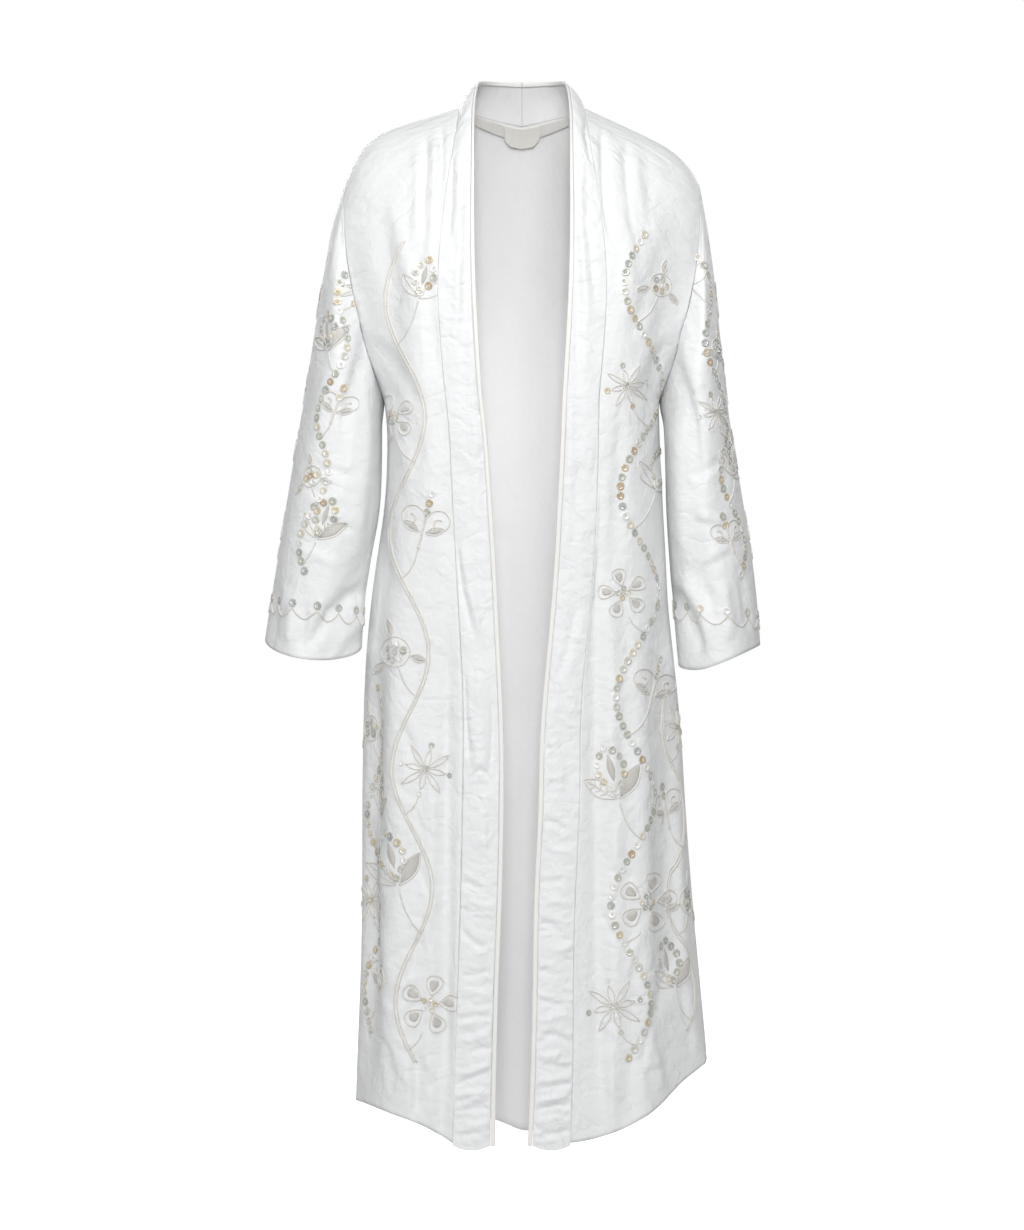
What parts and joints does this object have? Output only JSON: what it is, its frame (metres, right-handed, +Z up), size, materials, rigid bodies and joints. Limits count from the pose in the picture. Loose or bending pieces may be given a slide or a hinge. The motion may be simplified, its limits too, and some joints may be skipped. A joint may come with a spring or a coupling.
{
  "type": "duster coat",
  "caption": "Long open-fronted duster coat in its worn shape: wide three-quarter sleeves, a broad band round the neck and down both fronts, curved side hems.",
  "frame": {"origin": "midway between the two shoulder-neck points, just under the height where the coat rests on the wearer's shoulders", "axes": "+Z up, -Y towards the front, +X towards the wearer's left"},
  "size_m": [0.579, 0.2454, 1.2467],
  "materials": {
    "cloth": "smooth white woven cloth with a soft silky sheen",
    "band": "the same white cloth folded double, slightly puckered",
    "edging": "narrow ivory woven edging",
    "label": "blank woven satin label"
  },
  "bodies": {
    "root": {"back": "cloth", "front_right": "cloth", "front_left": "cloth", "sleeve_right": "cloth", "sleeve_left": "cloth", "band_right": "band", "band_left": "band", "edging_right": "edging", "edging_left": "edging", "neck_facing": "cloth", "neck_label": "label"}
  },
  "joints": []
}
